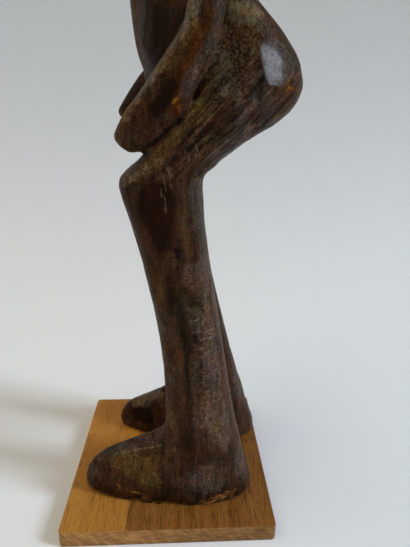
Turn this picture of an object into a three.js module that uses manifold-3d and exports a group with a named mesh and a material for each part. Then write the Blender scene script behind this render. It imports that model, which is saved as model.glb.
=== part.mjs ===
// A standing female figure carved from one piece of hardwood, on a square oak board.
// Millimetres, Z up. The figure faces -Y and its left side is +X. The origin is the middle
// of the board's underside.
import * as THREE from "three";
import { mergeVertices } from "three/addons/utils/BufferGeometryUtils.js";
import Module from "manifold-3d";

const wasm = await Module();
wasm.setup();

// The board: a square of planed oak with eased edges.
const BOARD_SIDE = 150;
const BOARD_THICKNESS = 13;
const BOARD_CORNER = 2.5;
const BOARD_EASE = 0.8;

// The figure is one carving. Heights below are above the board, and every profile point is
// [y, z]: y runs from the figure's front to its back.
const BREAST = { x: 20, y: -12, z: 444, radius: 13, length: 27, droop: 0.35, splay: 0.22 };
const NAVEL = { y: -23, z: 364, radius: 5.5, depth: 4 };
const NECK = { y: 13, foot: 466, top: 536, radius: 15.5, flare: 5, lean: 0.1 };
const SOLE_CUT = 40;

// How finely the rings are cut.
const LEG_AROUND = 22;
const TRUNK_AROUND = 22;
const ARM_AROUND = 16;
const DOME_RINGS = 2;

// A station is one cross-section: the front and back points of its profile, how far it
// reaches across in x, how square it is (2 is an ellipse), how far behind the middle it is
// widest, and how much it narrows towards the front.
const station = (front, back, inner, outer, square = 2.2, ridge = 0, taper = 0) => ({
  front,
  back,
  inner,
  outer,
  section: [square, ridge, taper],
});

const signedPower = (value, power) => Math.sign(value) * Math.abs(value) ** power;

const curveThrough = (points) => new THREE.CatmullRomCurve3(points, false, "centripetal");

// One closed ring of points for a station.
function ring({ front, back, reach, section }, around) {
  const middle = front.clone().add(back).multiplyScalar(0.5);
  const halfChord = front.clone().sub(middle);
  const halfWidth = (reach.y - reach.x) / 2;
  const middleX = (reach.y + reach.x) / 2;
  const { x: square, y: ridge, z: taper } = section;
  return Array.from({ length: around }, (_, i) => {
    const angle = (2 * Math.PI * i) / around;
    const along = signedPower(Math.cos(angle), 2 / square);
    const across = signedPower(Math.sin(angle), 2 / square);
    const shifted = along - ridge * (1 - along * along);
    const narrowed = (1 - taper * (along + (along * along) / 2)) / (1 + taper / 4);
    return middle
      .clone()
      .addScaledVector(halfChord, shifted)
      .setX(middleX + halfWidth * across * narrowed);
  });
}

// The rings of one smooth run of stations.
function run(stations, between, around) {
  const curves = {
    front: curveThrough(stations.map((s) => new THREE.Vector3(0, ...s.front))),
    back: curveThrough(stations.map((s) => new THREE.Vector3(0, ...s.back))),
    reach: curveThrough(stations.map((s) => new THREE.Vector3(s.inner, s.outer, 0))),
    section: curveThrough(stations.map((s) => new THREE.Vector3(...s.section))),
  };
  const steps = (stations.length - 1) * between;
  return Array.from({ length: steps + 1 }, (_, i) => {
    const at = {};
    for (const name in curves) at[name] = curves[name].getPoint(i / steps);
    return ring(at, around);
  });
}

const centreOf = (points) =>
  points.reduce((sum, p) => sum.add(p), new THREE.Vector3()).multiplyScalar(1 / points.length);

// Closes an end of a skin with a dome that stands out by the given height.
function dome(end, before, height) {
  const centre = centreOf(end);
  const outward = centre.clone().sub(centreOf(before)).normalize();
  const rings = [];
  for (let i = 1; i <= DOME_RINGS; i++) {
    const turn = (Math.PI / 2) * (i / (DOME_RINGS + 1));
    rings.push(
      end.map((p) =>
        p
          .clone()
          .lerp(centre, 1 - Math.cos(turn))
          .addScaledVector(outward, height * Math.sin(turn)),
      ),
    );
  }
  return { rings, pole: centre.addScaledVector(outward, height) };
}

// A closed skin over rings of equal count, with a pole at each end.
function skin(rings, startPole, endPole) {
  const around = rings[0].length;
  const points = [...rings.flat(), startPole, endPole];
  const start = points.length - 2;
  const end = points.length - 1;
  const faces = [];
  rings.forEach((_, level) => {
    for (let i = 0; i < around; i++) {
      const next = (i + 1) % around;
      const a = level * around + i;
      const b = level * around + next;
      if (level === 0) faces.push(start, b, a);
      if (level === rings.length - 1) faces.push(end, a, b);
      else faces.push(a, b, a + around, b, b + around, a + around);
    }
  });
  const geometry = new THREE.BufferGeometry().setFromPoints(points);
  geometry.setIndex(faces);
  return geometry;
}

// A limb is one skin over runs of stations, with a crease where two runs meet. It is given
// how many rings to cut between two stations of each run, and how many points round a ring.
function limb(runs, between, around, { startDome = 0, endDome = 0, change = (p) => p } = {}) {
  const rings = runs
    .flatMap((stations, i) => run(stations, between[i], around).slice(i ? 1 : 0))
    .map((points) => points.map((p) => change(p.clone())));
  const first = dome(rings[0], rings[1], startDome);
  const last = dome(rings.at(-1), rings.at(-2), endDome);
  const all = [
    ...(startDome ? first.rings.reverse() : []),
    ...rings,
    ...(endDome ? last.rings : []),
  ];
  return skin(all, first.pole, last.pole);
}

const signedVolume = (points, faces) => {
  const [a, b, c] = [new THREE.Vector3(), new THREE.Vector3(), new THREE.Vector3()];
  let sum = 0;
  for (let i = 0; i < faces.length; i += 3) {
    a.fromBufferAttribute(points, faces[i]);
    b.fromBufferAttribute(points, faces[i + 1]);
    c.fromBufferAttribute(points, faces[i + 2]);
    sum += a.dot(b.cross(c));
  }
  return sum;
};

// A geometry as a solid that can be cut and joined, with its faces turned outwards.
function solid(source) {
  const bare = source.clone();
  bare.deleteAttribute("normal");
  bare.deleteAttribute("uv");
  const merged = mergeVertices(bare, 1e-4);
  const faces = [];
  for (let i = 0; i < merged.index.count; i += 3) {
    const [a, b, c] = [0, 1, 2].map((k) => merged.index.getX(i + k));
    if (a !== b && b !== c && c !== a) faces.push(a, b, c);
  }
  if (signedVolume(merged.attributes.position, faces) < 0) faces.reverse();
  return new wasm.Manifold(
    new wasm.Mesh({
      numProp: 3,
      vertProperties: merged.attributes.position.array,
      triVerts: new Uint32Array(faces),
    }),
  );
}

function geometryOf(made) {
  const { vertProperties, triVerts } = made.getMesh();
  const geometry = new THREE.BufferGeometry();
  geometry.setAttribute("position", new THREE.BufferAttribute(vertProperties, 3));
  geometry.setIndex(new THREE.BufferAttribute(triVerts, 1));
  return geometry;
}

// A geometry turned, stretched and put in place, for either side of the body.
function placed(geometry, { at, turn = [0, 0, 0], stretch = [1, 1, 1], side = 1 }) {
  const rotation = new THREE.Quaternion().setFromEuler(new THREE.Euler(...turn));
  const matrix = new THREE.Matrix4().compose(
    new THREE.Vector3(...at),
    rotation,
    new THREE.Vector3(...stretch),
  );
  matrix.premultiply(new THREE.Matrix4().makeScale(side, 1, 1));
  return geometry.clone().applyMatrix4(matrix);
}

// The legs: a wedge of a foot that narrows to a blunt toe, a column that leans back from the
// knee to the heel, and a short thigh that turns up into the buttock.
const FOOT = [
  station([-60.5, -4], [62.5, -4], 8.5, 57.5, 2.4, 0, 0.28),
  station([-64.2, 3], [63, 3], 8.5, 57.5, 2.4, 0, 0.28),
  station([-64, 11], [61.5, 11], 8.5, 57.5, 2.4, 0, 0.3),
  station([-61.5, 19], [59, 18.5], 8.5, 57, 2.3, 0, 0.34),
  station([-56.5, 26], [57, 25], 9, 56.5, 2.3, 0, 0.38),
  station([-48, 32], [55.5, 31], 9.5, 55, 2.3, 0, 0.42),
  station([-36, 37], [54.4, 36], 10, 54.5, 2.3, 0, 0.46),
  station([-21, 42], [53, 41], 10.5, 53.5, 2.3, 0, 0.44),
  station([-8, 46.5], [52.2, 46], 11, 52.5, 2.3, 0, 0.28),
  station([-3, 52], [50.6, 51], 11.5, 51.5, 2.3, 0, 0.1),
];
const SHANK = [
  station([-3, 52], [50.6, 51], 11.5, 51.5, 2.3, 0, 0.1),
  station([-2.2, 66], [47.6, 65], 12, 50, 2.4),
  station([-2.2, 84], [44, 84], 12, 49, 2.5),
  station([-5.6, 128], [36.9, 128], 11, 49, 2.5),
  station([-12.2, 166], [30.6, 166], 10, 50, 2.5),
  station([-21.4, 206], [24.8, 205], 9, 52, 2.5),
  station([-27.2, 224], [23.3, 232.4], 8.5, 53, 2.4),
];
const THIGH = [
  station([-27.2, 224], [23.3, 232.4], 8.5, 53, 2.4),
  station([-26.8, 232], [26.5, 235.2], 8.5, 53, 2.3, -0.12),
  station([-15.8, 242], [34.6, 242.4], 8, 53.5, 2.2, -0.3),
  station([-2.8, 255.3], [49.9, 254], 6, 54, 2.2, -0.4),
  station([11, 269], [67, 264], 4, 54.5, 2.2, -0.3),
  station([22, 284], [77.5, 274.5], 2, 54, 2.2, -0.15),
  station([26, 300], [80.4, 287], 1, 52.5, 2.2),
  station([24, 317], [74.5, 302.8], 1, 48, 2.2),
  station([19, 335], [60.4, 319.5], 2, 41, 2.2),
  station([11, 351], [39, 344], 6, 29, 2.2),
];
const KNEE_HEIGHT = 225;
const ANKLE_HEIGHT = 70;
const HEEL_REACH = 55;
const FOOT_LENGTH = 115;

// The right leg leans further back, and its foot is shorter, lower and turned out.
const LEGS = [
  { side: 1, setBack: 0, turnOut: 0, shorter: 0, lower: 0 },
  { side: -1, setBack: 12, turnOut: 8, shorter: 0.065, lower: 0.22 },
];

function leg({ side, setBack, turnOut, shorter, lower }) {
  const { smoothstep } = THREE.MathUtils;
  const change = (p) => {
    const low = 1 - smoothstep(p.z, 15, ANKLE_HEIGHT);
    const forward = smoothstep(-p.y, 0, FOOT_LENGTH / 3);
    const y = p.y < 0 ? p.y * (1 - shorter * low) : p.y;
    const turned = (turnOut * low * (HEEL_REACH - y)) / FOOT_LENGTH;
    const back = setBack * smoothstep(1 - p.z / KNEE_HEIGHT, 0.2, 1);
    return p.set(side * (p.x + turned), y + back, p.z * (1 - lower * low * forward));
  };
  return solid(limb([FOOT, SHANK, THIGH], [1, 2, 2], LEG_AROUND, { endDome: 6, change }));
}

// The trunk: a long column from the groin to the shoulders, fullest at the navel.
const GROIN = [
  station([4, 247], [36, 252], -14, 14, 2.2),
  station([-8, 262], [52, 268], -34, 34, 2.3),
  station([-13, 296], [62, 296], -44, 44, 2.4),
];
const BELLY_LEDGE = [
  station([-13, 296], [62, 296], -44, 44, 2.4),
  station([-15.5, 299], [62, 299], -45, 45, 2.4),
];
const TRUNK = [
  station([-15.5, 299], [62, 299], -45, 45, 2.4),
  station([-18, 315], [60, 311], -44, 44, 2.4),
  station([-20, 334], [48, 334], -37, 37, 2.3),
  station([-24, 362], [38, 360], -34, 34, 2.3),
  station([-21, 395], [35, 393], -36, 36, 2.4),
  station([-17, 432], [37, 430], -42, 42, 2.5),
  station([-15, 447], [38, 446], -46, 46, 2.6),
  station([-12, 458], [37, 457], -61, 61, 3),
  station([-9, 467], [35, 467], -66, 66, 3.2),
  station([-5, 476], [30, 476], -64, 64, 2.9),
  station([0, 484], [25, 484], -48, 48, 2.4),
];
const trunk = () =>
  solid(
    limb([GROIN, BELLY_LEDGE, TRUNK], [1, 1, 2], TRUNK_AROUND, { startDome: 5, endDome: 5 }),
  );

// The arms hang free of the trunk and come forward to mitten hands on the thighs. The right
// hand lies a little higher than the left.
const ARM = [
  station([-3.5, 466], [29, 466], 46, 70.5, 2.4),
  station([-1, 440], [27, 440], 50, 71, 2.1, 0.1),
  station([6, 385], [32, 383], 50, 70, 2.1, 0.15),
  station([15, 335], [34.5, 333], 48, 68, 1.9, 0.3),
  station([12, 313], [31.8, 311], 46, 65, 1.8, 0.35),
  station([2.8, 299.6], [25.5, 294], 43, 60, 1.8, 0.35),
  station([-6.4, 288], [17.5, 277.5], 41, 57, 1.9, 0.3),
  station([-15.4, 276.5], [8, 263.3], 38.5, 54, 2, 0.2),
  station([-23.8, 264], [-5.5, 251.5], 36.5, 50, 2.2, 0.1),
  station([-27.5, 257], [-17.5, 247], 36.5, 47, 2.3),
];
const ARMS = [
  { side: 1, forward: 0, up: 0 },
  { side: -1, forward: 8.5, up: 15 },
];
const ELBOW_HEIGHT = 360;
const HAND_HEIGHT = 280;

function arm({ side, forward, up }) {
  const change = (p) => {
    const bent = THREE.MathUtils.smoothstep(
      ELBOW_HEIGHT - p.z,
      0,
      ELBOW_HEIGHT - HAND_HEIGHT,
    );
    return p.set(side * p.x, p.y - forward * bent, p.z + up * bent);
  };
  return solid(limb([ARM], [2], ARM_AROUND, { startDome: 9, endDome: 2.5, change }));
}

// A cone with a rounded tip, turned about its own axis from root to tip.
function breast(side) {
  const { radius, length } = BREAST;
  const outline = new THREE.Path()
    .moveTo(0, -radius)
    .lineTo(radius, -radius)
    .lineTo(radius, 0)
    .quadraticCurveTo(radius * 0.72, length * 0.55, radius * 0.36, length * 0.88)
    .quadraticCurveTo(radius * 0.24, length, 0, length);
  const cone = new THREE.LatheGeometry(outline.getPoints(3), 16);
  return solid(
    placed(cone, {
      at: [BREAST.x, BREAST.y, BREAST.z],
      turn: [Math.PI + BREAST.droop, 0, -BREAST.splay],
      side,
    }),
  );
}

const navel = () =>
  solid(
    placed(new THREE.SphereGeometry(NAVEL.radius, 12, 8), {
      at: [0, NAVEL.y, NAVEL.z],
      stretch: [1, NAVEL.depth / NAVEL.radius, 1],
    }),
  );

// The neck: a plain column that flares into the shoulders.
function neck() {
  const { radius, flare, foot, top } = NECK;
  const height = top - foot;
  const outline = new THREE.Path()
    .moveTo(0, 0)
    .lineTo(radius + flare, 0)
    .quadraticCurveTo(radius, height * 0.2, radius, height * 0.5)
    .lineTo(radius, height)
    .lineTo(0, height);
  return solid(
    placed(new THREE.LatheGeometry(outline.getPoints(3), 20), {
      at: [0, NECK.y, foot],
      turn: [Math.PI / 2 + NECK.lean, 0, 0],
    }),
  );
}

// The head: a long egg with the chin forward, under a crest that runs from brow to nape.
const HEAD = [
  station([-22, 519], [12, 523], -9, 9, 2.1),
  station([-29.5, 526], [24, 531], -14.5, 14.5, 2.1),
  station([-28, 543], [37, 545], -20, 20, 2.2, 0.1),
  station([-25.5, 558], [44, 560], -23.5, 23.5, 2.2, 0.15),
  station([-25, 575], [47, 577], -25, 25, 2.2, 0.15),
  station([-25, 593], [45, 596], -24, 24, 2.2, 0.1),
  station([-18, 610], [36, 613], -19.5, 19.5, 2.2),
  station([-8, 619], [26, 621], -13, 13, 2.1),
];
const head = () => solid(limb([HEAD], [2], TRUNK_AROUND, { startDome: 2, endDome: 3 }));

// The crest, cut from its side outline and set across the middle.
const CREST = { width: 10, ease: 2, brow: [-25, 596], top: [2, 633], nape: [43, 556] };
function crest() {
  const { brow, top, nape, width, ease } = CREST;
  const outline = new THREE.Shape()
    .moveTo(...brow)
    .bezierCurveTo(brow[0] - 4, top[1] - 18, brow[0] + 8, top[1], ...top)
    .bezierCurveTo(top[0] + 26, top[1], nape[0] + 6, nape[1] + 40, ...nape)
    .lineTo(nape[0] - 12, nape[1])
    .lineTo(top[0], top[1] - 30)
    .lineTo(...brow);
  const slab = new THREE.ExtrudeGeometry(outline, {
    depth: width - 2 * ease,
    bevelThickness: ease,
    bevelSize: ease,
    bevelOffset: -ease,
    bevelSegments: 2,
    curveSegments: 8,
  });
  // The outline is drawn in y and z, so the slab is stood up across x.
  const stand = new THREE.Matrix4().makeBasis(
    new THREE.Vector3(0, 1, 0),
    new THREE.Vector3(0, 0, 1),
    new THREE.Vector3(1, 0, 0),
  );
  stand.setPosition(-(width - 2 * ease) / 2, 0, 0);
  return solid(slab.applyMatrix4(stand));
}

// The face: an arrow nose under a straight brow, closed eyes, a small mouth and cupped ears.
const NOSE = [
  station([-26, 584], [-20, 584], -3, 3, 2.4),
  station([-31, 572], [-20, 572], -3.4, 3.4, 2.4),
  station([-35.5, 558], [-20, 558], -5, 5, 2.4),
  station([-37, 551], [-20, 549], -7, 7, 2.4),
];
const BROW = { front: -25.5, ends: -6, z: 586, radius: 3, span: 42 };
const EYE = { x: 10.5, y: -21.8, z: 571, width: 6.5, depth: 2.8, height: 3.3, cant: 0.1 };
const MOUTH = { y: -28.4, z: 537, width: 8.5, depth: 3.2, height: 3 };
const EAR = { x: 23, y: 10, z: 566, radius: 9, thickness: 5, wall: 3.2, sweep: 0.25 };

const ball = (size, at, side = 1, turn = [0, 0, 0]) =>
  solid(placed(new THREE.SphereGeometry(1, 12, 8), { at, turn, stretch: size, side }));

function brow() {
  const { front, ends, z, radius, span } = BROW;
  const line = new THREE.QuadraticBezierCurve3(
    new THREE.Vector3(-span / 2, ends, z),
    new THREE.Vector3(0, 2 * front - ends, z),
    new THREE.Vector3(span / 2, ends, z),
  );
  const section = new THREE.Shape().absarc(0, 0, radius, 0, 2 * Math.PI);
  return solid(
    new THREE.ExtrudeGeometry(section, { steps: 12, curveSegments: 5, extrudePath: line }),
  );
}

function ear(side) {
  const { radius, wall, thickness } = EAR;
  const cup = new THREE.Shape();
  cup.absarc(0, 0, radius, -Math.PI / 2, Math.PI / 2);
  cup.lineTo(0, radius - wall);
  cup.absarc(0, 0, radius - wall, Math.PI / 2, -Math.PI / 2, true);
  cup.lineTo(0, -radius);
  const rim = new THREE.ExtrudeGeometry(cup, {
    depth: thickness,
    bevelThickness: 0.8,
    bevelSize: 0.8,
    bevelOffset: -0.8,
    bevelSegments: 1,
    curveSegments: 10,
  });
  // The cup is drawn with its opening forward and stands along the side of the head.
  const stand = new THREE.Matrix4().makeBasis(
    new THREE.Vector3(0, 1, 0),
    new THREE.Vector3(0, 0, 1),
    new THREE.Vector3(1, 0, 0),
  );
  return solid(placed(rim.applyMatrix4(stand), { at: [EAR.x - 2, EAR.y, EAR.z], side }));
}

const face = () => [
  solid(limb([NOSE], [1], ARM_AROUND, { startDome: 1, endDome: 2 })),
  brow(),
  ...[1, -1].map((side) =>
    ball([EYE.width, EYE.depth, EYE.height], [EYE.x, EYE.y, EYE.z], side, [0, EYE.cant, 0.35]),
  ),
  ball([MOUTH.width, MOUTH.depth, MOUTH.height], [0, MOUTH.y, MOUTH.z]),
  ...[1, -1].map(ear),
];

// The soles are cut flat where they stand.
const underfoot = () =>
  solid(
    new THREE.BoxGeometry(3 * BOARD_SIDE, 3 * BOARD_SIDE, SOLE_CUT).translate(
      0,
      0,
      -SOLE_CUT / 2,
    ),
  );

function figure() {
  const parts = [
    ...LEGS.map(leg),
    trunk(),
    ...ARMS.map(arm),
    breast(1),
    breast(-1),
    navel(),
    neck(),
    head(),
    crest(),
    ...face(),
  ];
  const carved = parts.reduce((sum, part) => sum.add(part)).subtract(underfoot());
  const mesh = new THREE.Mesh(
    geometryOf(carved),
    new THREE.MeshStandardMaterial({ color: 0x3a2a20, roughness: 0.55, metalness: 0 }),
  );
  mesh.name = "figure";
  mesh.position.z = BOARD_THICKNESS;
  return mesh;
}

function board() {
  const half = BOARD_SIDE / 2;
  const outline = new THREE.Shape();
  const corners = [
    [half, half],
    [-half, half],
    [-half, -half],
    [half, -half],
  ];
  corners.forEach(([x, y], i) => {
    const inX = x - Math.sign(x) * BOARD_CORNER;
    const inY = y - Math.sign(y) * BOARD_CORNER;
    outline.absarc(inX, inY, BOARD_CORNER, (i * Math.PI) / 2, ((i + 1) * Math.PI) / 2);
  });
  const slab = new THREE.ExtrudeGeometry(outline, {
    depth: BOARD_THICKNESS - 2 * BOARD_EASE,
    bevelThickness: BOARD_EASE,
    bevelSize: BOARD_EASE,
    bevelOffset: -BOARD_EASE,
    bevelSegments: 2,
    curveSegments: 5,
  }).translate(0, 0, BOARD_EASE);
  const mesh = new THREE.Mesh(
    slab,
    new THREE.MeshStandardMaterial({ color: 0xa8743c, roughness: 0.5, metalness: 0 }),
  );
  mesh.name = "board";
  return mesh;
}

const group = new THREE.Group();
group.add(board(), figure());

export default group;
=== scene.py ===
import math

import bmesh
import bpy
from mathutils import Matrix, Vector, kdtree, noise


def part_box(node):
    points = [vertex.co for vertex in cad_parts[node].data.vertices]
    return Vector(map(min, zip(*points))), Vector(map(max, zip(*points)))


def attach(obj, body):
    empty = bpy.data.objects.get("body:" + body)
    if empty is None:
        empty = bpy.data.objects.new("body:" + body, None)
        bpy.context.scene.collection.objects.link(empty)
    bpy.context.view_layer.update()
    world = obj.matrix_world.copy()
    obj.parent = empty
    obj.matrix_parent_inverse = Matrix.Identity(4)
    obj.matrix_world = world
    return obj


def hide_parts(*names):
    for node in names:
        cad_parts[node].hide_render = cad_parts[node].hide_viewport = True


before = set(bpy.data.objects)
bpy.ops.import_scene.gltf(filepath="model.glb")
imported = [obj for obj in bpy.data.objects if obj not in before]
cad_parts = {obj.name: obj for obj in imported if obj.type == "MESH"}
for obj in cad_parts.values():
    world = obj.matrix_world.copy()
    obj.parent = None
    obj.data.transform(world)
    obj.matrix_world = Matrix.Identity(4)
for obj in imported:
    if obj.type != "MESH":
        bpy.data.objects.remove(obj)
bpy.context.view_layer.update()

# The camera stands at the figure's left side, at the height of its thighs, and looks down
# a little. Its lens frames the carving from the waist to the board.
camera = bpy.data.objects.new("camera", bpy.data.cameras.new("camera"))
bpy.context.collection.objects.link(camera)
camera.data.sensor_width = 36
camera.data.lens = 28.3
camera_place = Vector((0.2962, 0.0116, 0.2762))
camera_right = Vector((0.04785, 0.99879, 0.01148))
camera_up = Vector((-0.32974, 0.00495, 0.94406))
camera_back = camera_right.cross(camera_up).normalized()
turn = Matrix((camera_right, camera_up, camera_back)).transposed()
camera.matrix_world = Matrix.Translation(camera_place) @ turn.to_4x4()
bpy.context.scene.camera = camera

# The studio: a floor of pale paper that sweeps up all round into its own wall, so that no
# horizon shows from any side, under an even pale sky.
FLOOR_REACH = 0.45
SWEEP_RADIUS = 3.0
SWEEP_STEPS = 24
WALL_TOP = 4.4
TURN_STEPS = 96
HUB = 0.02
sweep = bmesh.new()
profile = [sweep.verts.new((HUB, 0, 0)), sweep.verts.new((FLOOR_REACH, 0, 0))]
for step in range(1, SWEEP_STEPS + 1):
    angle = math.radians(90) * step / SWEEP_STEPS
    out = FLOOR_REACH + SWEEP_RADIUS * math.sin(angle)
    profile.append(sweep.verts.new((out, 0, SWEEP_RADIUS * (1 - math.cos(angle)))))
profile.append(sweep.verts.new((FLOOR_REACH + SWEEP_RADIUS, 0, WALL_TOP)))
edges = [sweep.edges.new(pair) for pair in zip(profile, profile[1:])]
bmesh.ops.spin(
    sweep,
    geom=profile + edges,
    cent=(0, 0, 0),
    axis=(0, 0, 1),
    angle=math.tau,
    steps=TURN_STEPS,
    use_merge=True,
)
bmesh.ops.contextual_create(sweep, geom=[v for v in sweep.verts if v.co.length < 1.5 * HUB])
bmesh.ops.recalc_face_normals(sweep, faces=sweep.faces)
floor = bpy.data.objects.new("floor", bpy.data.meshes.new("floor"))
sweep.to_mesh(floor.data)
sweep.free()
bpy.context.collection.objects.link(floor)
for face in floor.data.polygons:
    face.use_smooth = True
paper = bpy.data.materials.new("pale_paper")
paper.use_nodes = True
paper_shader = paper.node_tree.nodes["Principled BSDF"]
paper_shader.inputs["Base Color"].default_value = (0.745, 0.78, 0.80, 1)
paper_shader.inputs["Roughness"].default_value = 0.9
floor.data.materials.append(paper)

sky = bpy.data.worlds.new("pale_sky")
sky.use_nodes = True
sky.node_tree.nodes["Background"].inputs["Color"].default_value = (1.0, 0.82, 0.59, 1)
sky.node_tree.nodes["Background"].inputs["Strength"].default_value = 0.25
bpy.context.scene.world = sky
bpy.context.scene.view_settings.view_transform = "Standard"


# A tall window behind the statue's left gives the blue gloss on the hip and the long soft
# shadows, a wide warm lamp overhead the upper faces, and a third one lifts the backdrop.
def soft_lamp(name, place, aim, size, power, colour, spread=180):
    lamp = bpy.data.objects.new(name, bpy.data.lights.new(name, "AREA"))
    lamp.data.shape = "RECTANGLE"
    lamp.data.size, lamp.data.size_y = size
    lamp.data.energy = power
    lamp.data.color = colour
    lamp.data.spread = math.radians(spread)
    lamp.location = place
    lamp.rotation_mode = "QUATERNION"
    lamp.rotation_quaternion = (Vector(aim) - Vector(place)).to_track_quat("-Z", "Y")
    bpy.context.collection.objects.link(lamp)


soft_lamp("window", (0.825, 2.73, 1.9), (0, 0, 0.1), (0.705, 1.35), 76, (0.72, 0.81, 0.94), 148)
soft_lamp("overhead", (0.1, -0.6, 1.5), (-0.3, 0, 0.1), (1.2, 1.2), 9.5, (1.0, 0.82, 0.60))
soft_lamp("backdrop lamp", (-1.3, 0, 2.4), (-3.4, 0, 2.0), (1.8, 1.0), 3.0, (1.0, 0.80, 0.60))

# The board: a square of planed oak glued up from two staves, sawn, its edges eased with a
# few strokes of sandpaper and the top waxed.
BOARD_LOW, BOARD_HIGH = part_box("board")
CORNER_ROUND = 0.003
EDGE_EASE = 0.0009
STAVE_JOINT = -0.0297
board_mesh = bmesh.new()
bmesh.ops.create_cube(board_mesh, size=1)
bmesh.ops.scale(board_mesh, verts=board_mesh.verts, vec=BOARD_HIGH - BOARD_LOW)
bmesh.ops.translate(board_mesh, verts=board_mesh.verts, vec=(BOARD_LOW + BOARD_HIGH) / 2)
upright = [e for e in board_mesh.edges if abs(e.verts[0].co.z - e.verts[1].co.z) > 0.001]
bmesh.ops.bevel(
    board_mesh,
    geom=upright,
    offset=CORNER_ROUND,
    segments=5,
    affect="EDGES",
    profile=0.5,
    material=-1,
)
level = [e for e in board_mesh.edges if abs(e.verts[0].co.z - e.verts[1].co.z) < 1e-6]
rims = [e for e in level if any(abs(f.normal.z) < 0.5 for f in e.link_faces)]
bmesh.ops.bevel(
    board_mesh,
    geom=rims,
    offset=EDGE_EASE,
    segments=3,
    affect="EDGES",
    profile=0.5,
    material=-1,
)
board = bpy.data.objects.new("oak_board", bpy.data.meshes.new("oak_board"))
board_mesh.to_mesh(board.data)
board_mesh.free()
bpy.context.collection.objects.link(board)
for face in board.data.polygons:
    face.use_smooth = True


# Nodes of one material, added and wired by name.
class Finish:
    def __init__(self, name):
        self.material = bpy.data.materials.new(name)
        self.material.use_nodes = True
        self.nodes = self.material.node_tree.nodes
        self.links = self.material.node_tree.links
        self.shader = self.nodes["Principled BSDF"]
        self.place = self.nodes.new("ShaderNodeTexCoord").outputs["Object"]

    def join(self, value, socket):
        if isinstance(value, bpy.types.NodeSocket):
            self.links.new(value, socket)
        elif value is not None:
            socket.default_value = value

    def stretched(self, scale, turn=(0, 0, 0)):
        node = self.nodes.new("ShaderNodeMapping")
        node.vector_type = "TEXTURE"
        self.join(self.place, node.inputs["Vector"])
        node.inputs["Scale"].default_value = [1 / size for size in scale]
        node.inputs["Rotation"].default_value = turn
        return node.outputs["Vector"]

    def cloud(self, where, scale, detail=3, rough=0.55, warp=0.0):
        node = self.nodes.new("ShaderNodeTexNoise")
        self.join(where, node.inputs["Vector"])
        node.inputs["Scale"].default_value = scale
        node.inputs["Detail"].default_value = detail
        node.inputs["Roughness"].default_value = rough
        node.inputs["Distortion"].default_value = warp
        return node.outputs["Fac"]

    def cells(self, where, scale, feature="F1"):
        node = self.nodes.new("ShaderNodeTexVoronoi")
        node.feature = feature
        self.join(where, node.inputs["Vector"])
        node.inputs["Scale"].default_value = scale
        return node.outputs["Distance"]

    def fade(self, value, low, high, out_low=0.0, out_high=1.0):
        node = self.nodes.new("ShaderNodeMapRange")
        node.interpolation_type = "SMOOTHSTEP"
        for socket, number in zip(node.inputs[:5], (value, low, high, out_low, out_high)):
            self.join(number, socket)
        return node.outputs["Result"]

    def sum(self, kind, first, second, third=None):
        node = self.nodes.new("ShaderNodeMath")
        node.operation = kind
        for socket, number in zip(node.inputs, (first, second, third)):
            self.join(number, socket)
        return node.outputs["Value"]

    def blend(self, amount, below, above, kind="MIX"):
        node = self.nodes.new("ShaderNodeMix")
        node.data_type = "RGBA"
        node.blend_type = kind
        self.join(amount, node.inputs["Factor"])
        for socket, colour in ((node.inputs[6], below), (node.inputs[7], above)):
            self.join((*colour, 1) if isinstance(colour, tuple) else colour, socket)
        return node.outputs[2]

    def shades(self, value, *stops):
        node = self.nodes.new("ShaderNodeValToRGB")
        ramp = node.color_ramp
        while len(ramp.elements) < len(stops):
            ramp.elements.new(0.5)
        for element, (at, colour) in zip(ramp.elements, stops):
            element.position = at
            element.color = (*colour, 1)
        self.join(value, node.inputs["Fac"])
        return node.outputs["Color"]

    def painted(self, name):
        node = self.nodes.new("ShaderNodeAttribute")
        node.attribute_name = name
        return node.outputs["Fac"]

    def relief(self, height, depth, strength=1.0, under=None):
        node = self.nodes.new("ShaderNodeBump")
        node.inputs["Strength"].default_value = strength
        node.inputs["Distance"].default_value = depth
        self.join(height, node.inputs["Height"])
        self.join(under, node.inputs["Normal"])
        return node.outputs["Normal"]


oak = Finish("waxed_oak")
along = oak.stretched((0.07, 1, 1))
tone = oak.cloud(along, 45, detail=4, rough=0.6)
pores = oak.cloud(oak.stretched((0.09, 1, 1)), 1050, detail=2, rough=0.7)
rings = oak.cloud(along, 210, detail=3, rough=0.6)
split = oak.nodes.new("ShaderNodeSeparateXYZ")
oak.join(oak.place, split.inputs[0])
across = split.outputs["Y"]
left_stave = oak.fade(across, STAVE_JOINT, STAVE_JOINT + 0.0005, 1, 0)
honey = oak.shades(tone, (0.3, (0.26, 0.110, 0.013)), (0.7, (0.37, 0.170, 0.027)))
nut = oak.shades(rings, (0.3, (0.14, 0.050, 0.0062)), (0.7, (0.21, 0.086, 0.0145)))
face_colour = oak.blend(left_stave, nut, honey)
pore_mark = oak.fade(pores, 0.38, 0.47, 1, 0)
pore_mark = oak.sum("MULTIPLY", pore_mark, oak.fade(left_stave, 0, 1, 0.7, 0.6))
pore_colour = oak.blend(left_stave, (0.048, 0.016, 0.003), (0.15, 0.055, 0.008))
face_colour = oak.blend(pore_mark, face_colour, pore_colour)
geometry = oak.nodes.new("ShaderNodeNewGeometry")
facing = oak.nodes.new("ShaderNodeSeparateXYZ")
oak.join(geometry.outputs["Normal"], facing.inputs[0])
sawn_end = oak.fade(oak.sum("ABSOLUTE", facing.outputs["X"], 0), 0.6, 0.85)
ring_lines = oak.cloud(oak.stretched((1, 1, 0.22), turn=(math.radians(38), 0, 0)), 330, detail=3)
end_colour = oak.shades(ring_lines, (0.34, (0.22, 0.098, 0.023)), (0.6, (0.35, 0.168, 0.047)))
torn = oak.cloud(oak.stretched((1, 0.12, 1)), 900, detail=3, rough=0.65)
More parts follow.
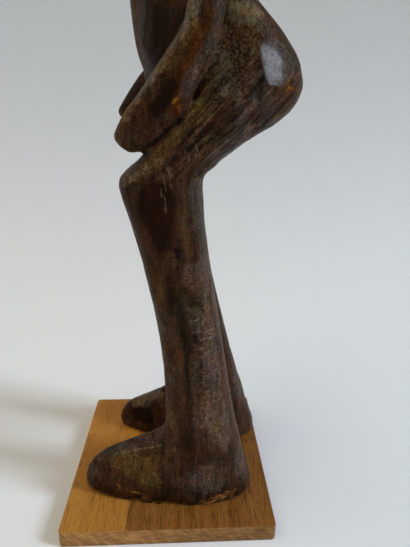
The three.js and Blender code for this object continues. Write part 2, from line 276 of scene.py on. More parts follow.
torn = oak.shades(torn, (0.36, (0.62, 0.56, 0.5)), (0.5, (1, 1, 1)), (0.64, (1.25, 1.25, 1.25)))
end_colour = oak.blend(1.0, end_colour, torn, kind="MULTIPLY")
end_pores = oak.fade(oak.cells(oak.place, 900), 0.16, 0.3, 1, 0)
end_pores = oak.sum("MULTIPLY", end_pores, oak.fade(oak.cloud(oak.place, 260), 0.5, 0.62))
end_colour = oak.blend(end_pores, end_colour, (0.10, 0.045, 0.015))
# The sawn end is painted paler at its left than at its right.
left_to_right = oak.fade(across, BOARD_LOW.y, BOARD_HIGH.y)
end_paler_at_left = oak.shades(left_to_right, (0, (1.28, 1.30, 1.30)), (1, (0.72, 0.72, 0.72)))
end_colour = oak.blend(1.0, end_colour, end_paler_at_left, kind="MULTIPLY")
# Painted light: the top is painted paler towards its far side, to lift the shade that falls there.
far_to_near = oak.fade(split.outputs["X"], BOARD_LOW.x, BOARD_HIGH.x)
painted_light_far_top = oak.shades(far_to_near, (0, (1.3, 1.3, 1.3)), (1, (1, 1, 1)))
face_colour = oak.blend(1.0, face_colour, painted_light_far_top, kind="MULTIPLY")
oak.join(oak.blend(sawn_end, face_colour, end_colour), oak.shader.inputs["Base Color"])
oak.join(oak.fade(rings, 0.3, 0.7, 0.42, 0.56), oak.shader.inputs["Roughness"])
oak.shader.inputs["Specular IOR Level"].default_value = 0.2
oak.join(oak.relief(pores, 0.0003, 0.35), oak.shader.inputs["Normal"])
board.data.materials.append(oak.material)
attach(board, "root")
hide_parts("board")

# The figure: one block of dense dark hardwood, hewn with an adze, rubbed smooth by
# handling and blackened with oil, smoke and offerings. The skin is the solid's own form,
# smoothed over its facets, with tool marks, knots, cracks and chipped soles cut into it.
MM = 0.001
BOARD_TOP = BOARD_HIGH.z
SKIN_GRAIN = 1.75 * MM
# Unseeded, the noise vectors would start from the clock and differ from run to run.
noise.seed_set(7)
carving = bmesh.new()
carving.from_mesh(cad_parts["figure"].data)
bmesh.ops.remove_doubles(carving, verts=carving.verts, dist=1e-6)
figure = bpy.data.objects.new("carved_figure", bpy.data.meshes.new("carved_figure"))
carving.to_mesh(figure.data)
carving.free()
bpy.context.collection.objects.link(figure)
skin = figure.modifiers.new("even skin", "REMESH")
skin.mode = "VOXEL"
skin.voxel_size = SKIN_GRAIN
ready = figure.evaluated_get(bpy.context.evaluated_depsgraph_get())
even_mesh = bpy.data.meshes.new_from_object(ready)
figure.modifiers.clear()
figure.data = even_mesh
carving = bmesh.new()
carving.from_mesh(figure.data)


def rub(points, times):
    for _ in range(times):
        bmesh.ops.smooth_vert(
            carving,
            verts=points,
            factor=0.5,
            use_axis_x=True,
            use_axis_y=True,
            use_axis_z=True,
        )


def ease(value, low, high):
    share = min(max((value - low) / (high - low), 0), 1)
    return share * share * (3 - 2 * share)


def within(value, low, high, edge):
    return ease(value, low - edge, low + edge) * (1 - ease(value, high - edge, high + edge))


# Rubbing rounds the edges, but no edge gives up more than a third of a millimetre.
EDGE_LOSS = 0.33 * MM
before = [point.co.copy() for point in carving.verts]
rub(carving.verts, 6)
carving.normal_update()
for point, was in zip(carving.verts, before):
    lost = (was - point.co).dot(point.normal)
    point.co += point.normal * math.copysign(max(abs(lost) - EDGE_LOSS, 0), lost)
rub(carving.verts, 1)
carving.normal_update()

# Adze strokes: each flattens the skin round one spot to a plane just under it. They are
# deepest on the thighs and trunk, light on the shanks and lightest on the head.
STROKE_APART = 13 * MM
STROKE_REACH = 11 * MM
SHANK_TOP = 235
HEAD_FOOT = 520
places = kdtree.KDTree(len(carving.verts))
for point in carving.verts:
    places.insert(point.co, point.index)
places.balance()


def shave(spot, facing, depth, reach):
    plane = spot - facing * depth
    touched = []
    for _, index, away in places.find_range(spot, reach):
        point = carving.verts[index]
        proud = (point.co - plane).dot(facing)
        if proud > 0:
            touched.append((point, min(proud, 2 * depth) * ease(reach - away, 0, 0.3 * reach)))
    for point, proud in touched:
        point.co -= facing * proud


def stroke_depth(height):
    if height < SHANK_TOP:
        return 0.16
    return 0.4 if height < HEAD_FOOT else 0.12


SPOT_STEP = 29
spots = []
carving.verts.ensure_lookup_table()
for point in list(carving.verts)[::SPOT_STEP]:
    apart = all((point.co - spot).length > STROKE_APART for spot, _ in spots)
    if apart and point.co.z > BOARD_TOP + 4 * MM:
        spots.append((point.co.copy(), point.normal.copy()))
for spot, facing in spots:
    tilt = noise.noise_vector(spot / (9 * MM)) * 0.16
    depth = stroke_depth(spot.z / MM) * (1 + 0.5 * noise.noise(spot / (14 * MM)))
    shave(spot, (facing + tilt).normalized(), depth * MM, STROKE_REACH)
rub(carving.verts, 1)
carving.normal_update()


# The groove between each arm and hip is shallow, as in wood that was never cut apart. It is
# filled round three places: each with its reach, and how many times the hollow is drawn up.
GROOVE = (54, 19, 297)
GROOVE_FILLS = [((52, 24, 304), 24, 50), ((48, 20, 290), 15, 150), (GROOVE, 13, 180)]
for middle, reach, times in GROOVE_FILLS:
    groove = []
    for side in (1, -1):
        found = places.find_range(Vector((side * middle[0], *middle[1:])) * MM, reach * MM)
        groove += [carving.verts[index] for _, index, _ in found]
    for _ in range(times):
        for point in groove:
            ring = [edge.other_vert(point).co for edge in point.link_edges]
            inward = sum(ring, Vector()) / len(ring) - point.co
            if inward.dot(point.normal) > 0:
                point.co += inward * 0.8
carving.normal_update()


def patch(place, centre, reach):
    """1 in the middle of an egg-shaped patch and 0 well outside it, in millimetres."""
    away = sum(((p - c) / r) ** 2 for p, c, r in zip(place, centre, reach))
    return math.exp(-away) if away < 6 else 0.0


def stroke(place, line, width):
    """1 on a line through some points and 0 a few widths from it."""
    nearest = 9 * width * width
    for start, end in zip(line, line[1:]):
        run = end - start
        share = min(max((place - start).dot(run) / run.length_squared, 0), 1)
        nearest = min(nearest, (place - start - run * share).length_squared)
    return math.exp(-nearest / width**2) if nearest < 6 * width * width else 0.0


def wavy(place, size, stretch=1.0):
    """Smooth noise from -1 to 1 with waves of this many millimetres, longer up the grain."""
    return noise.noise(Vector((place.x, place.y, place.z / stretch)) / size)


def path(*points):
    return [Vector(p) for p in points]


# Cuts, cracks and knots, in millimetres above the ground, as read off the real one's left
# side: a line, its width and its depth. The first list is on the left side alone.
LEFT_CUTS = [
    (path((51, 8.5, 202), (50, 8, 185), (49.4, 7.8, 166), (48.9, 10.5, 147)), 2.1, 0.45),
    (path((48.9, 10.2, 150), (48.7, 13.3, 133.5), (48.7, 14, 112)), 2.2, 0.5),
    (path((53, 14, 262), (53, 22, 270), (54, 27, 276)), 1.9, 0.6),
    (path((53.5, 6, 252), (53, 13, 259), (52.5, 18, 268)), 1.8, 0.5),
    (path((52.7, 6, 266), (53, 17, 276), (52.5, 26, 285)), 1.8, 0.45),
    (path((53.3, 50, 289), (53.3, 51.5, 294.5)), 2.0, 0.7),
    (path((33, -62, 35), (39, -57, 33)), 1.8, 1.0),
    (path((50, -19, 29), (51.5, -17, 24)), 1.8, 0.4),
]
OTHER_CUTS = [
    (path((-6, 44, 470), (-5, 40, 440), (-8, 38, 405), (-7, 38, 372)), 2.0, 0.9),
    (path((-9, -6, 633), (-12, 14, 636), (-13, 34, 625), (-12, 46, 602)), 1.9, 0.6),
    (path((7, -18, 425), (9, -21, 400), (8, -24, 372), (10, -22, 348)), 1.9, 0.45),
    (path((-52, 2, 222), (-50, 8, 190), (-49, 13, 160)), 2.0, 0.7),
    (path((-53, 30, 300), (-52, 44, 296), (-47, 58, 300)), 2.0, 0.6),
    (path((-42, -48, 26), (-48, -30, 25), (-51, -12, 30)), 2.0, 0.6),
    (path((-64, 22, 395), (-62, 18, 372), (-60, 14, 352)), 1.9, 0.5),
]
FACE_CUTS = [
    (path((4, -25.5, 583.6), (10.5, -25, 583), (16.5, -21.5, 584)), 1.7, 0.9),
    (path((0, -32, 550), (5, -31, 550), (8.5, -28, 550.4)), 1.7, 0.9),
    (path((24, 12, 586), (27, 14, 579), (25, 12, 572)), 2.0, 0.8),
    (path((7, -26, 611), (15, -18, 609), (22, -6, 606), (25, 10, 602)), 1.7, 0.4),
]
KNOT = (Vector((51, 7.5, 202)), (5, 3.4, 8))
KNEE_HOLE = (Vector((48, 22.5, 248.5)), (6, 2.7, 2.6))
SOLE_CHIPS = [
    (path((57, 24, 15.5), (56, 33, 18), (54, 41, 20), (51, 48, 20)), 3.0, 1.0),
    (path((47, -38, 25.5), (50, -30, 22.5), (52.5, -22, 20.5), (54, -13, 18)), 2.0, 0.55),
    (path((56.5, -4, 14.5), (57.5, 12, 14.5), (57, 24, 14.5)), 1.1, 0.55),
]
CRUSTS = [
    ((47, 41, 322), (14, 16, 14), 0.9),
    ((50, 33, 304), (12, 11, 16), 0.9),
    ((53, 26, 268), (12, 14, 10), 0.3),
    ((53, 36, 290), (12, 14, 12), 0.4),
]


def cut_depth(place):
    """How deep the cuts, cracks and knots go here, and how black they are."""
    wander = Vector((0, 1.6 * wavy(place, 11), 0.8 * wavy(place, 8)))
    depth, black = 0.0, 0.0
    lines = LEFT_CUTS if place.x > 0 else OTHER_CUTS
    spot = place + wander
    if place.z > 540 and place.y < 20:
        lines, spot = FACE_CUTS, Vector((abs(place.x), place.y, place.z))
    for line, width, deep in lines:
        cut = stroke(spot, line, width)
        if cut:
            cut *= 0.6 + 0.4 * ease(wavy(place, 5), -0.3, 0.2)
            depth += deep * cut
            black = max(black, cut * min(deep, 0.8))
    knot = patch(place, *KNOT) * (1 + 0.9 * wavy(place, 3.5))
    hole = patch(place, *KNEE_HOLE)
    return depth + 0.9 * knot + 3.2 * hole, max(black, 0.55 * knot, 1.2 * hole)


# Cuts the relief into the skin, and keeps how black, chipped, crusted and hewn each point
# is. Depths are in millimetres.
HEWN_DEPTH = 0.42
PLAIT_DEPTH = 0.45
PLAIT_TURNS = 44
CRUST_HEIGHT = 0.6
CHIP_DEPTH = 0.8
SOLE_UNDERCUT = 1.0
SOLE_BAND = 14
TOE_LIFT = 4.2
black_at, chip_at, crust_at, hewn_at = [], [], [], []
for point in carving.verts:
    place = point.co / MM
    mirrored = Vector((abs(place.x), place.y, place.z))
    above_board = place.z - BOARD_TOP / MM
    calm = 1 - 0.8 * ease(place.z, 515, 530)

    height = 0.15 + calm * (0.16 * wavy(place, 40, 1.6) + 0.10 * wavy(place, 15, 1.8))
    height += calm * 0.12 * wavy(place, 2.3, 9)
    along_thigh = Vector((place.x, place.y * 0.8 - place.z * 0.6, (place.y * 0.6 + place.z * 0.8) / 8))
    hewn = within(place.z, 246, 312, 8) * ease(place.y - 0.45 * (place.z - 246), -8, 6)
    height += HEWN_DEPTH * hewn * noise.noise(along_thigh / 3.4)

    # The crest is plaited: shallow grooves across it, turning with its curve.
    round_crest = math.atan2(place.z - 585, place.y - 8)
    plait = ease(place.z, 590, 606) * (1 - ease(mirrored.x, 5.5, 8))
    height -= PLAIT_DEPTH * plait * ease(math.sin(PLAIT_TURNS * round_crest), -0.2, 0.9)

    crust = sum(much * patch(mirrored, where, size) for where, size, much in CRUSTS)
    crust = min(1, max(0, crust * (1 + 0.7 * wavy(place, 6))))
    height += CRUST_HEIGHT * crust * (abs(wavy(place, 3.0)) + 0.5 * wavy(place, 1.7) - 0.2)

    deep, black = cut_depth(place)
    height -= deep

    chipped = 0.0
    if above_board < SOLE_BAND:
        for line, width, much in SOLE_CHIPS:
            edge = stroke(mirrored if place.x < 0 else place, line, width)
            chipped += much * edge * (1 if place.x > 0 else 0.6)
        low = 1 - ease(above_board, 1.5, 5)
        chipped += 0.5 * low * ease(wavy(place, 9) + 0.4 * wavy(place, 3.5), 0.16, 0.34)
        fibre = noise.noise(Vector((place.x / 2, place.y / 6, place.z / 1.8)))
        chipped *= 1 + 0.7 * wavy(place, 7) + 0.8 * fibre
        chipped = min(max(chipped, 0), 1)
        under = low * within(place.y, -52, 8, 8) * ease(abs(place.x), 30, 44)
        if point.normal.z > -0.6:
            height -= CHIP_DEPTH * chipped + SOLE_UNDERCUT * under
    point.co += point.normal * height * MM

    toe_lift = TOE_LIFT * ease(-place.y, 40, 60) if above_board < 12 else 0
    point.co.z = max(point.co.z, BOARD_TOP + toe_lift * MM)
    black_at.append(black)
    chip_at.append(chipped)
    crust_at.append(crust)
    hewn_at.append(hewn)

# Flats pared with a knife, with hard edges: a place, the way it faces, its depth and reach.
# Those of the left side come again on the right side, a little less deep.
PARED = [
    ((51, -8, 256), (0.80, -0.48, 0.36), 0.9, 30),
    ((51.5, -4, 303), (0.36, -0.76, 0.50), 0.45, 26),
    ((56.5, 3, 299), (0.97, -0.21, -0.07), 0.35, 22),
    ((36, -30, 50), (0.22, -0.34, 0.91), 0.9, 30),
    ((46, -32, 36), (0.92, -0.30, 0.25), 0.7, 25),
    ((52, -10, 22), (0.93, -0.16, -0.32), 0.7, 26),
    ((37.5, -59, 30), (0.60, -0.78, 0.18), 0.9, 12),
    ((54, 22, 36), (0.98, 0.02, 0.18), 0.5, 20),
    ((46, 51, 38), (0.72, 0.66, 0.22), 0.8, 15),
    ((53, 43, 301), (0.99, -0.08, 0.10), 0.7, 15),
    ((49.5, 60, 284), (0.80, 0.42, -0.43), 0.7, 16),
    ((43, 61, 323), (0.66, 0.48, 0.58), 0.6, 18),
    ((27, -12, 326), (0.42, -0.90, 0.04), 0.9, 24),
    ((39, 1, 330), (0.95, -0.30, 0.06), 0.9, 24),
    ((27, -17, 366), (0.50, -0.86, 0.02), 0.8, 24),
]
flat_at = [0.0] * len(carving.verts)


def pare(spot, facing, depth, reach, glossy=0.0):
    spot, index, _ = places.find(spot * MM)
    facing = facing.normalized()
    plane = carving.verts[index].co - facing * depth * MM
    for _, near, away in places.find_range(spot, reach * MM):
        point = carving.verts[near]
        proud = (point.co - plane).dot(facing)
        if 0 < proud < 2.6 * MM and point.normal.dot(facing) > 0.3:
            inside = ease(reach - away / MM, 0, 0.4 * reach)
            point.co -= facing * proud * inside
            flat_at[near] = max(flat_at[near], glossy * inside * ease(proud, 0, 0.4 * MM))


carving.verts.ensure_lookup_table()
for spot, facing, depth, reach in PARED:
    pare(Vector(spot), Vector(facing), depth, reach)
    pare(Vector((-spot[0], *spot[1:])), Vector((-facing[0], *facing[1:])), 0.7 * depth, reach)
# Two more on the right foot, whose inner side shows, then the glossy one on the left
# buttock, which mirrors the window.
pare(Vector((-34, -24, 43)), Vector((0.10, -0.40, 0.91)), 0.9, 26)
pare(Vector((-31, -28, 32)), Vector((0.84, -0.47, 0.26)), 0.8, 24)
pare(Vector((52, 56.5, 306)), Vector((0.922, 0.325, 0.21)), 1.4, 15, glossy=1.2)
carving.normal_update()

# How proud each point stands of the skin round it: rubbed bare on ridges and swells, and darkened in the
# hollows and creases with soot and oil and with painted shade.
final = [point.co.copy() for point in carving.verts]
facing = [point.normal.copy() for point in carving.verts]
rub(carving.verts, 8)
ridge_at = [(a - v.co).dot(n) / MM for a, n, v in zip(final, facing, carving.verts)]
rub(carving.verts, 42)
swell_at = [(a - v.co).dot(n) / MM for a, n, v in zip(final, facing, carving.verts)]
for point, co in zip(carving.verts, final):
    point.co = co
carving.normal_update()
# The groove beside the forearm is rubbed clean, so little soot and little painted shade are left in it.
for side in (1, -1):
    middle = Vector((side * GROOVE[0], *GROOVE[1:])) * MM
    for _, index, _ in places.find_range(middle, 14 * MM):
        ridge_at[index] *= 0.2
        swell_at[index] *= 0.2

# Where each finish of the old patina lies, as patches and strokes on the left side, with painted light, a
# painted sheen and painted shade among them. The right side has them too, a little elsewhere. Each is a
# place, a size and a strength.
PATINA = {
    # Pale patina, with painted light: upper and front faces, such as the front edge of the forearm, the
    # knee and the top of the right foot, are painted paler where light falls on them.
    "pale": [
        (
            path(
                (61.7, 15.1, 329.9), (58.8, 11.3, 323.4), (55.7, 6.3, 315.6), (52.6, 0, 307.8),
                (49.5, -6, 301), (49.1, -9.9, 295.8), (48.5, -15.5, 287.5), (47.5, -19.6, 281),
            ), 4.4, 1.5,
        ),
        (path((47.6, -20.8, 245.5), (50.6, -12.5, 251.4), (52.4, -3, 258)), 3.8, 0.5),
        ((46, -19, 247), (6, 6, 4), 0.6),
        ((47.6, 33, 303.5), (7, 6, 9), 0.9),
        ((45, 44, 331), (9, 12, 9), 0.9),
        ((53.9, 38.8, 290.4), (8, 9, 8), 0.5),
        (path((60.2, 13.4, 330), (58.5, 10.6, 322), (55.5, 6, 314), (52, -1, 306)), 3.4, 0.8),
        ((27, 64, 42), (6, 8, 16), 0.9),
        ((57, 20, 300), (5, 4, 8), 0.4),
        ((-33, -28, 43), (8, 18, 8), 1.6),
        ((38, -56, 31), (9, 8, 7), 0.5),
        (path((36, -52, 39), (38, -36, 47), (40, -21, 51), (42, -6, 56)), 1.4, 0.6),
        ((46, -21, 244), (8, 5, 4), 0.6),
        ((51, 32, 275), (7, 8, 3), 0.3),
        ((47.6, 18.3, 216.6), (6, 3.5, 14), 0.3),
        ((28, -24, 45), (8, 16, 6), 0.8),
    ],
    "olive": [
        (path((61.1, 15.1, 320.8), (58.8, 11.2, 314.7), (57.7, 9.2, 310.4), (56.3, 5.1, 306.1)), 4.4, 1.3),
        (path((47, 32.2, 303.9), (46.8, 27.1, 295.6), (48, 21.5, 288.1), (51.5, 17, 279)), 3.6, 0.9),
        (path((46, -19, 247), (50.6, -12, 252.5), (52.5, -1, 262), (53, 6, 269), (53, 18, 280)), 5.4, 0.75),
        ((53, 15, 257), (6, 6, 5), 0.4),
        ((48, 40, 314), (10, 10, 12), 0.4),
        ((45, -30, 42), (12, 16, 9), 1.1),
        ((48, -13, 36), (9, 11, 9), 1.1),
        ((47, -4, 176), (7, 5, 16), 0.6),
        ((50, 3, 200), (7, 5, 9), 0.7),
        ((53, 3, 222), (6, 3, 10), 0.4),
        ((44, 2, 80), (8, 6, 16), 0.6),
        ((52, -10, 291), (8, 6, 5), 0.6),
    ],
    "amber": [
        ((55.3, 8, 283.5), (6, 2.1, 5), 1.3),
        ((46.5, 70, 294.5), (9, 4, 4), 0.7),
    ],
    "rust": [
        (
            path(
                (64.7, 23.6, 324.5), (62.8, 21.3, 318.5), (61.2, 19, 313.6), (59.8, 16.6, 309.4),
                (58.9, 14.2, 305),
            ), 3.4, 1.2,
        ),
        (path((57, 10, 300), (55.5, 7, 289), (54.5, 5, 285)), 3.2, 0.9),
        ((46.5, 70, 295), (10, 6, 5), 0.9),
        ((48.5, 15, 203), (5, 3, 10), 0.6),
        ((47.5, -6, 189), (7, 4, 16), 0.5),
        ((43, -2, 118), (8, 6, 30), 0.5),
        ((47, -8, 160), (7, 5, 26), 0.6),
        ((50, -26, 21), (8, 14, 4), 1.1),
        ((46.6, -18, 263), (8, 7, 3), 0.7),
    ],
    "red": [
        (path((57, 6, 294), (55.4, 3, 289), (53.5, -3, 283)), 4.6, 0.85),
        ((52, -5, 232), (9, 10.5, 14), 1.5),
        ((51.5, -1, 213), (8, 8.5, 17), 0.65),
        ((49.8, 3, 186), (8, 6, 14), 0.5),
        ((49.5, 5, 168), (6, 6, 14), 0.5),
        ((27, -22, 29), (7, 20, 10), 1.4),
        ((50, -30, 20), (9, 22, 5), 0.3),
        ((28, -10, 305), (9, 6, 6), 0.8),
        ((49, -16, 272), (8, 7, 8), 0.3),
        ((52.5, 15, 262), (6, 5, 5), 0.5),
    ],
    # Violet-grey patina, with a painted sheen: faces turned to the window, on the back of the forearm and
    # the shank, the buttock and the top of the foot, get a bluish grey that stands in for its reflection.
    "violet": [
        (
            path(
                (65.1, 27.2, 328.6), (62.3, 27.6, 320.9), (59.5, 25, 312.7), (58.4, 21.6, 307),
                (57.6, 18.7, 301.6), (56.6, 15.2, 295.6), (55.3, 13.1, 290.9),
            ), 3.6, 1.1,
        ),
        (path((46, 19, 240), (44, 22, 230), (43, 24, 208), (45, 25, 185)), 6, 1.3),
        ((-25, 60, 62), (10, 14, 26), 1.1),
        ((-24, 48, 110), (12, 14, 40), 0.6),
        ((52.4, 15.2, 259.8), (6, 6, 6), 0.6),
        (path((33, -55, 42), (34, -38, 49.5), (35, -20, 55), (37, -8, 59)), 5.4, 0.8),
        ((49, 12, 172), (5, 4, 11), 0.7),
        ((53.1, 49, 300.2), (4, 5, 5), 0.8),
        ((52, 55, 287), (10, 10, 8), 0.8),
        ((48, 58, 322), (8, 7, 12), 0.6),
        ((53, 43, 289), (9, 10, 7), 0.4),
        (path((54, 57, 276), (49, 48, 275.6), (45.7, 40.5, 267.6), (43, 33.6, 259)), 9, 0.9),
        ((47.9, 22.9, 158), (5, 5, 7), 0.7),
        ((48, 27, 128), (5, 7, 8), 0.6),
        ((30, -38, 50), (10, 22, 6), 0.5),
        ((44, 53, 38), (9, 8, 11), 0.9),
        ((49, -4, 92), (9, 5, 20), 0.2),
    ],
    "dust": [
        ((47.5, 31, 116), (9, 8, 26), 0.8),
        ((49.2, 22.5, 88), (5, 4.5, 9), 0.9),
        ((46, 27, 150), (9, 7, 16), 0.8),
        ((45.5, 25, 180), (8, 5, 14), 0.6),
        ((49.5, 15, 188), (6, 4.5, 8), 0.9),
        ((48, 39, 75), (9, 8, 18), 1.0),
        ((50, 24, 80), (9, 10, 16), 0.4),
        ((53, 31, 38), (8, 13, 11), 0.6),
        ((49, 17.5, 118), (7, 3.5, 26), 0.9),
        ((50, 17, 160), (6, 5, 8), 0.9),
        ((48, 22, 190), (6, 4, 10), 0.7),
        ((53, 8, 30), (9, 12, 8), 0.3),
        ((54, 28, 33), (9, 12, 10), 0.8),
        ((52, 8, 40), (9, 16, 12), 0.15),
        ((44, 3, 118), (8, 6, 24), 0.5),
        ((52, 30, 268), (8, 8, 5), 0.4),
    ],
    # Soot, with painted shade: the trunk behind the forearm and a crease along the thigh are darkened where
    # shade falls.
    "soot_and_painted_shade": [
        ((49.8, 9, 166), (5, 3.2, 14), 0.6),
        (
            path(
                (46, -22, 240), (49.2, -18.5, 242.9), (52.7, -8, 247.3), (53.3, 4.3, 256),
                (53.7, 12.5, 266.5), (52.5, 18, 276), (50, 22, 284),
            ), 1.8, 0.9,
        ),
        (path((49.4, 7.8, 166), (48.9, 10.4, 147), (48.7, 13.3, 133.5), (48.7, 14, 108)), 1.5, 0.8),
        ((50, 60, 286), (10, 10, 9), 0.35),
        ((30, -4, 318), (8, 4, 26), 0.4),
        ((49, 13, 142), (5, 2.4, 16), 0.5),
        ((51, 8, 203), (6, 4, 8), 0.6),
        ((56, 0, 310), (4, 4, 6), 0.3),
        ((40, 2, 326), (12, 12, 26), 0.8),
        ((30, -9, 324), (9, 6, 30), 0.5),
        ((0, 10, 490), (30, 26, 8), 0.5),
        ((20, -10, 448), (14, 8, 12), 0.5),
        ((26, 22, 582), (8, 8, 12), 0.5),
        ((53, 12, 260), (9, 5, 6), 0.4),
        ((52.5, 29, 270), (8, 5, 5), 0.8),
        ((53.3, 51.3, 291.5), (4, 2.6, 3.6), 0.9),
        ((56, 2, 300), (5, 5, 5), 0.3),
        ((49, 40, 314), (9, 9, 11), 0.35),
        ((-38, -24, 292), (10, 9, 18), 1.3),
        ((-24, 46, 100), (14, 14, 40), 0.45),
        ((58.5, 13.5, 309), (4, 3, 5), 0.6),
        ((52, 2, 26), (8, 16, 6), 0.6),
        ((45, 32, 112), (10, 4, 6), 0.5),
        ((50, -15, 274), (8, 8, 10), 0.4),
    ],
    "scratches": [
        ((47.8, 25, 150), (8, 7, 14), 1.0),
        ((47.5, 28, 120), (8, 9, 14), 1.2),
        ((49, 20, 165), (8, 6, 10), 0.7),
    ],
    "fibres": [
        ((52.5, 15.5, 262), (5, 5, 10), 1.3),
        ((52.5, 3, 247.5), (4, 3, 9), 1.2),
        ((52, 0, 235), (4, 3, 10), 1.2),
        ((49.2, 22.8, 88), (5, 5, 7), 1.2),
        ((48, 34, 305), (5, 5, 7), 0.9),
        ((48, 38, 330), (8, 12, 10), 0.6),
        ((50, 15, 190), (5, 4, 10), 0.6),
    ],
    "gloss": [
        ((40, -20, 246), (14, 10, 12), 0.3),
        ((64, 12, 484), (12, 16, 12), 0.6),
        ((22, -36, 440), (9, 9, 9), 0.5),
        ((0, -12, 618), (14, 22, 14), 0.6),
        ((22, -22, 560), (9, 9, 20), 0.35),
        ((0, -30, 376), (20, 12, 34), 0.4),
        ((68, 30, 372), (8, 10, 26), 0.5),
    ],
}


def amount(name, place):
    """How much of a finish lies here. A place on the right, below zero, stays there alone."""
    mirrored = Vector((abs(place.x), place.y, place.z))
    total = 0.0
    for where, size, much in PATINA[name]:
        if isinstance(where, list):
            total += much * stroke(mirrored, where, size)
        else:
            total += much * patch(place if where[0] < 0 else mirrored, where, size)
    return total


paint = {name: [] for name in PATINA}
for point in carving.verts:
    place = point.co / MM
    wander = noise.noise_vector(place / 16) * (2.2 if place.x > 0 else 9)
    for name in PATINA:
        paint[name].append(amount(name, place + wander))
paint["black"] = black_at
paint["flat"] = flat_at
paint["hewn"] = hewn_at
paint["chip"] = chip_at
paint["crust"] = crust_at
paint["ridge"] = ridge_at
paint["swell"] = swell_at
carving.to_mesh(figure.data)
carving.free()
for name, values in paint.items():
    figure.data.attributes.new(name, "FLOAT", "POINT").data.foreach_set("value", values)
for face in figure.data.polygons:
    face.use_smooth = True

# Its finish: brown wood under a dark patina, with the streaks of the grain, a greenish crust in the hollows
# of the hip and thigh, rubbed amber where hands have worn it through, grey dust on the shanks and bare
# orange wood where the soles are chipped. Painted light lies in it too: paler upper faces, a bluish painted
# sheen on faces turned to the window, and painted shade in the hollows and creases.
wood = Finish("dark_patina")
grain = wood.cloud(wood.stretched((1, 1, 0.09)), 560, detail=4, rough=0.65)
streaks = wood.cloud(wood.stretched((1, 1, 0.16)), 95, detail=4, rough=0.6, warp=0.6)
patches = wood.cloud(wood.place, 42, detail=5, rough=0.62)
speckle = wood.cloud(wood.place, 800, detail=2, rough=0.7)
mottle = wood.cloud(wood.place, 230, detail=4, rough=0.7)
scars = wood.cloud(wood.stretched((1, 0.12, 1), turn=(math.radians(12), 0, 0)), 620, detail=2)
hewn_lines = wood.cloud(wood.stretched((1, 1, 0.08), turn=(math.radians(-45), 0, 0)), 460, detail=4)
change = wood.sum("SUBTRACT", hewn_lines, grain)
lines = wood.sum("ADD", grain, wood.sum("MULTIPLY", wood.painted("hewn"), change))
cool = wood.cloud(wood.place, 75, detail=4, rough=0.65, warp=0.8)
green = wood.cloud(wood.stretched((1, 1, 0.5)), 110, detail=4, rough=0.65)


def worn(name, gain=1.0, edge=0.45, low=0.25, high=0.7):
    """A painted finish with a ragged edge."""
    strength = wood.sum("MULTIPLY", wood.painted(name), gain)
    ragged = wood.sum("MULTIPLY_ADD", mottle, edge * 2, -edge)
    return wood.fade(wood.sum("ADD", strength, ragged), low, high)


hue = wood.shades(
    wood.sum("MULTIPLY_ADD", streaks, 0.6, wood.sum("MULTIPLY", patches, 0.4)),
    (0.36, (0.024, 0.0100, 0.0042)),
    (0.49, (0.038, 0.0168, 0.0070)),
    (0.64, (0.060, 0.0290, 0.0125)),
)
reddish = wood.cloud(wood.place, 27, detail=3)
hue = wood.blend(wood.fade(reddish, 0.5, 0.62, 0, 0.4), hue, (0.045, 0.015, 0.0055))
rubbed = wood.fade(wood.painted("ridge"), 0.24, 0.6, 0, 0.6)
hue = wood.blend(wood.sum("MULTIPLY", rubbed, wood.fade(mottle, 0.4, 0.6)), hue, (0.12, 0.060, 0.027))
# The pale finish also paints light, the violet finish a painted sheen and the soot finish painted shade.
for name, much, colour in (
    ("violet", 0.7, (0.054, 0.038, 0.029)),
    ("olive", 0.8, (0.080, 0.045, 0.012)),
    ("dust", 0.65, (0.088, 0.056, 0.038)),
    ("pale", 0.8, (0.115, 0.082, 0.046)),
    ("rust", 0.8, (0.056, 0.0185, 0.0022)),
    ("red", 1.0, (0.0110, 0.0022, 0.0004)),
    ("soot_and_painted_shade", 0.75, (0.0085, 0.0052, 0.0030)),
):
    hue = wood.blend(wood.sum("MULTIPLY", worn(name), much), hue, colour)


def shaded(colour, value, *stops):
    """A colour made darker or lighter by a pattern, and redder as it darkens."""
    tints = [(at, (light, light**1.15, light**1.3)) for at, light in stops]
    return wood.blend(1.0, colour, wood.shades(value, *tints), kind="MULTIPLY")


for value, one_way, other_way in (
    (cool, (0.84, 0.96, 1.22), (1.18, 0.93, 0.74)),
    (green, (0.99, 1.06, 0.84), (1.10, 0.94, 0.97)),
):
    tints = wood.shades(value, (0.36, one_way), (0.5, (1, 1, 1)), (0.64, other_way))
    hue = wood.blend(1.0, hue, tints, kind="MULTIPLY")
hue = shaded(hue, streaks, (0.34, 0.66), (0.5, 0.96), (0.66, 1.25))
hue = shaded(hue, lines, (0.34, 0.64), (0.5, 1.0), (0.66, 1.36))
hue = shaded(hue, mottle, (0.34, 0.66), (0.5, 1.0), (0.66, 1.30))
hue = shaded(hue, speckle, (0.36, 0.54), (0.48, 1.0), (0.62, 1.40))
gouged = wood.blend(wood.painted("hewn"), (0.5, 0.5, 0.5), hewn_lines)
hue = shaded(hue, gouged, (0.36, 0.42), (0.5, 1.0), (0.66, 1.35))
crusty = wood.sum("MULTIPLY", worn("crust"), wood.fade(speckle, 0.50, 0.62))
hue = wood.blend(wood.sum("MULTIPLY", crusty, 0.7), hue, (0.095, 0.076, 0.036))
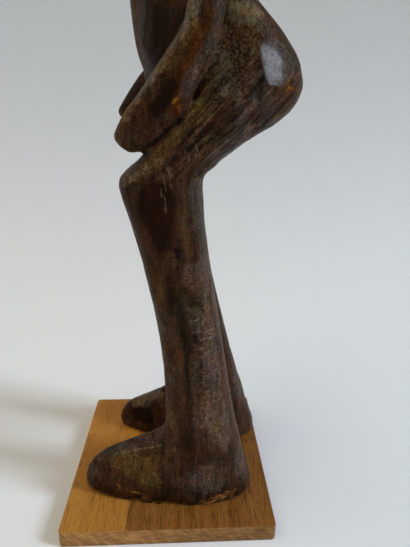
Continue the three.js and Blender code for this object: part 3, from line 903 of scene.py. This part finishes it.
# Painted shade together with soot: hollows and creases are darkened almost to black, as where shade falls
# in them.
hollow_dirt_and_painted_shade = wood.fade(wood.painted("swell"), -2.2, -0.15, 0.75, 0)
hue = wood.blend(hollow_dirt_and_painted_shade, hue, (0.0068, 0.0030, 0.0015))
hue = wood.blend(wood.fade(wood.painted("ridge"), -0.5, -0.1, 0.75, 0), hue, (0.006, 0.0028, 0.0015))
amber = wood.shades(
    mottle,
    (0.44, (0.035, 0.006, 0.0005)),
    (0.53, (0.08, 0.020, 0.001)),
    (0.66, (0.32, 0.115, 0.008)),
)
hue = wood.blend(worn("amber", 1.0, 0.35), hue, amber)
splinters = wood.cloud(wood.stretched((1, 0.22, 1)), 620, detail=3, rough=0.65)
fibres = wood.shades(
    splinters,
    (0.38, (0.03, 0.010, 0.003)),
    (0.5, (0.13, 0.048, 0.012)),
    (0.62, (0.30, 0.13, 0.04)),
)
hue = wood.blend(worn("chip", 1.1, 0.8), hue, fibres)
scratch = wood.sum("MULTIPLY", worn("scratches", 1.0, 0.7), wood.fade(scars, 0.60, 0.66))
hue = wood.blend(wood.sum("MULTIPLY", scratch, 0.75), hue, (0.21, 0.14, 0.095))
hairs = wood.cloud(wood.stretched((1, 1, 0.11), turn=(math.radians(8), 0, 0)), 900, detail=2)
hair = wood.sum("MULTIPLY", worn("fibres", 1.0, 0.6), wood.fade(hairs, 0.585, 0.65))
hue = wood.blend(wood.sum("MULTIPLY", hair, 0.75), hue, (0.15, 0.105, 0.058))
hue = wood.blend(worn("black", 1.15, 0.75, 0.35, 0.75), hue, (0.003, 0.0018, 0.0011))
wood.join(hue, wood.shader.inputs["Base Color"])

sheen = wood.fade(mottle, 0.35, 0.65, 0.36, 0.56)
sheen = wood.sum("MULTIPLY_ADD", worn("crust"), 0.3, sheen)
sheen = wood.sum("MULTIPLY_ADD", worn("chip"), 0.35, sheen)
sheen = wood.sum("MULTIPLY_ADD", wood.fade(wood.painted("gloss"), 0.2, 0.8), -0.05, sheen)
wood.join(sheen, wood.shader.inputs["Roughness"])
wood.shader.inputs["Specular IOR Level"].default_value = 0.08
glaze = wood.sum("ADD", wood.painted("gloss"), wood.painted("flat"))
fine_peel = wood.fade(speckle, 0.34, 0.62, 0.7, 1.1)
peel = wood.sum("MULTIPLY", fine_peel, wood.fade(mottle, 0.34, 0.56, 0.6, 1.1))
coat = wood.sum("MULTIPLY", wood.fade(glaze, 0.15, 1.5, 0.0, 1.0), peel)
wood.join(coat, wood.shader.inputs["Coat Weight"])
wood.shader.inputs["Coat Roughness"].default_value = 0.33
wood.shader.inputs["Coat IOR"].default_value = 1.7
wood.shader.inputs["Coat Tint"].default_value = (0.80, 0.94, 1.0, 1)
wood.shader.inputs["Sheen Weight"].default_value = 0.02
wood.shader.inputs["Sheen Roughness"].default_value = 0.4
wood.shader.inputs["Sheen Tint"].default_value = (0.85, 0.93, 1.0, 1)
wood.shader.inputs["Specular Tint"].default_value = (1.0, 0.84, 0.62, 1)
rough_skin = wood.relief(speckle, 0.0006, 0.45)
lined_skin = wood.relief(lines, 0.0007, 0.55, under=rough_skin)
wood.join(wood.relief(mottle, 0.0011, 0.45, under=lined_skin), wood.shader.inputs["Normal"])
figure.data.materials.clear()
figure.data.materials.append(wood.material)
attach(figure, "root")
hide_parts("figure")
